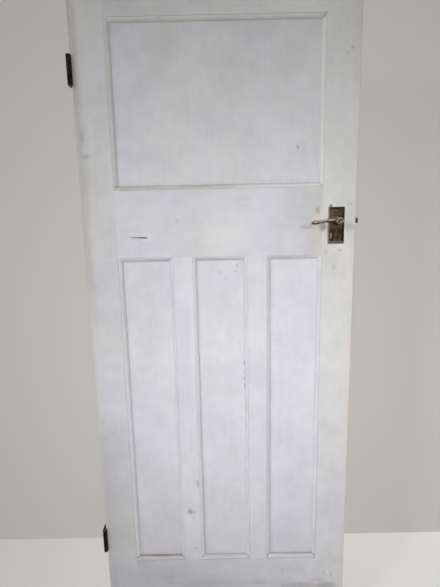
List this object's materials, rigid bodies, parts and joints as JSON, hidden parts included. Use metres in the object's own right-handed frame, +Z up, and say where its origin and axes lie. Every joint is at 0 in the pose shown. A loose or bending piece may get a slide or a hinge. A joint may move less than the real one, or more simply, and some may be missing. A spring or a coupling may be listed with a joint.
{
  "type": "panel door leaf",
  "caption": "Reclaimed painted timber panel door leaf with planted mouldings, butt hinges, mortice latch and lever handles.",
  "frame": {"origin": "middle of the leaf's bottom edge, at half its thickness and half its width", "axes": "+Z up the leaf, +X from the hinge edge to the lock edge, -Y out of the face that carries the hinge barrels"},
  "size_m": [0.7815, 0.125, 1.981],
  "materials": {
    "painted_timber": "worn off-white oil paint over softwood",
    "painted_panel": "worn off-white oil paint over plywood",
    "painted_moulding": "worn off-white oil paint over softwood",
    "bare_timber": "bare softwood end grain under thin paint",
    "black_iron": "old black paint on rolled steel",
    "pin_steel": "dull steel with black paint and a little rust",
    "screw_steel": "dull darkened steel",
    "latch_steel": "dull steel",
    "latch_brass": "dark tarnished brass",
    "spring_steel": "bright spring wire",
    "plate_brass": "dark tarnished brass with traces of paint",
    "lever_brass": "tarnished brass, worn bright where it is held"
  },
  "bodies": {
    "upper_frame_leaf": {"upper_hinge_frame_leaf": "black_iron", "upper_hinge_pin": "pin_steel"},
    "door": {"hinge_stile": "painted_timber", "lock_stile": "painted_timber", "top_rail": "painted_timber", "lock_rail": "painted_timber", "bottom_rail": "painted_timber", "left_muntin": "painted_timber", "right_muntin": "painted_timber", "top_panel": "painted_panel", "lower_left_panel": "painted_panel", "lower_middle_panel": "painted_panel", "lower_right_panel": "painted_panel", "front_top_side_beads": "painted_moulding", "front_top_end_beads": "painted_moulding", "back_top_side_beads": "painted_moulding", "back_top_end_beads": "painted_moulding", "front_lower_left_side_beads": "painted_moulding", "front_lower_left_end_beads": "painted_moulding", "back_lower_left_side_beads": "painted_moulding", "back_lower_left_end_beads": "painted_moulding", "front_lower_middle_side_beads": "painted_moulding", "front_lower_middle_end_beads": "painted_moulding", "back_lower_middle_side_beads": "painted_moulding", "back_lower_middle_end_beads": "painted_moulding", "front_lower_right_side_beads": "painted_moulding", "front_lower_right_end_beads": "painted_moulding", "back_lower_right_side_beads": "painted_moulding", "back_lower_right_end_beads": "painted_moulding", "tenon_wedges": "bare_timber", "upper_hinge_stile_leaf": "black_iron", "lower_hinge_stile_leaf": "black_iron", "upper_hinge_screws": "screw_steel", "lower_hinge_screws": "screw_steel", "latch_cap_screw": "screw_steel", "forend_screws": "screw_steel", "latch_case": "latch_steel", "latch_cap": "latch_steel", "latch_forend": "latch_brass", "latch_spring": "spring_steel", "front_plate": "plate_brass", "back_plate": "plate_brass", "front_plate_screws": "plate_brass", "back_plate_screws": "plate_brass"},
    "lower_frame_leaf": {"lower_hinge_frame_leaf": "black_iron", "lower_hinge_pin": "pin_steel"},
    "handle": {"front_lever": "lever_brass", "back_lever": "lever_brass", "lever_spindle": "latch_steel", "latch_follower": "latch_steel", "grub_screws": "screw_steel"},
    "bolt": {"latch_bolt": "latch_brass"}
  },
  "joints": [
    {"name": "door_swing", "type": "hinge", "parent": "upper_frame_leaf", "child": "door", "pos_m": [-0.3845, -0.024, 1.7565], "axis": [0, 0, -1], "range_deg": [0, 180]},
    {"name": "lower_hinge_turn", "type": "hinge", "parent": "door", "child": "lower_frame_leaf", "pos_m": [-0.3845, -0.024, 0.355], "axis": [0, 0, -1], "range_deg": [-180, 0]},
    {"name": "lever_turn", "type": "hinge", "parent": "door", "child": "handle", "pos_m": [0.327, 0, 1.352], "axis": [0, -1, 0], "range_deg": [0, 50], "stiffness_Nm_per_rad": 0.8, "springref_deg": -28.65},
    {"name": "latch_slide", "type": "slide", "parent": "door", "child": "bolt", "axis": [-1, 0, 0], "range_m": [0, 0.01], "deforming": ["latch_spring"]}
  ],
  "couplings": [
    {"joint": "lower_hinge_turn", "follows": "door_swing", "ratio": -1},
    {"joint": "latch_slide", "follows": "lever_turn", "m_per_rad": 0.011459}
  ]
}
